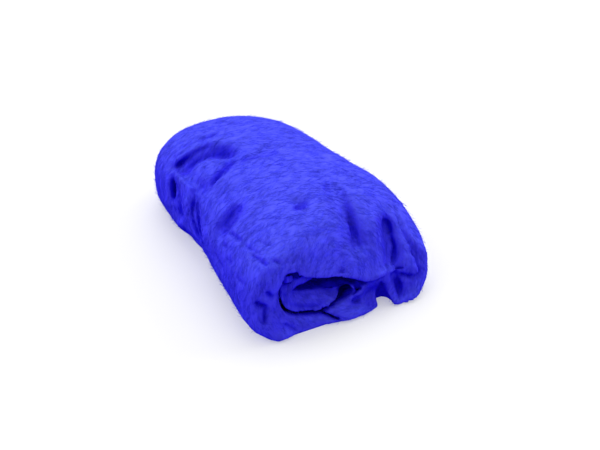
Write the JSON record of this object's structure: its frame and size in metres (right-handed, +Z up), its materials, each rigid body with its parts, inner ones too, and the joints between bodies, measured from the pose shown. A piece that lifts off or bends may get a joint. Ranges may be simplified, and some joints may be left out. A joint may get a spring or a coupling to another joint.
{
  "type": "carded wool bundle",
  "caption": "Loosely rolled bundle of carded wool with soft lobes, folds and an open end that shows its turns.",
  "frame": {"origin": "middle of the bundle's footprint, on the surface it lies on", "axes": "+Y along the roll from its open end to its closed end, +Z up"},
  "size_m": [0.204, 0.2954, 0.107],
  "materials": {
    "wool": "matte loose fibre"
  },
  "bodies": {
    "root": {"carded_wool_roll": "wool"}
  },
  "joints": []
}
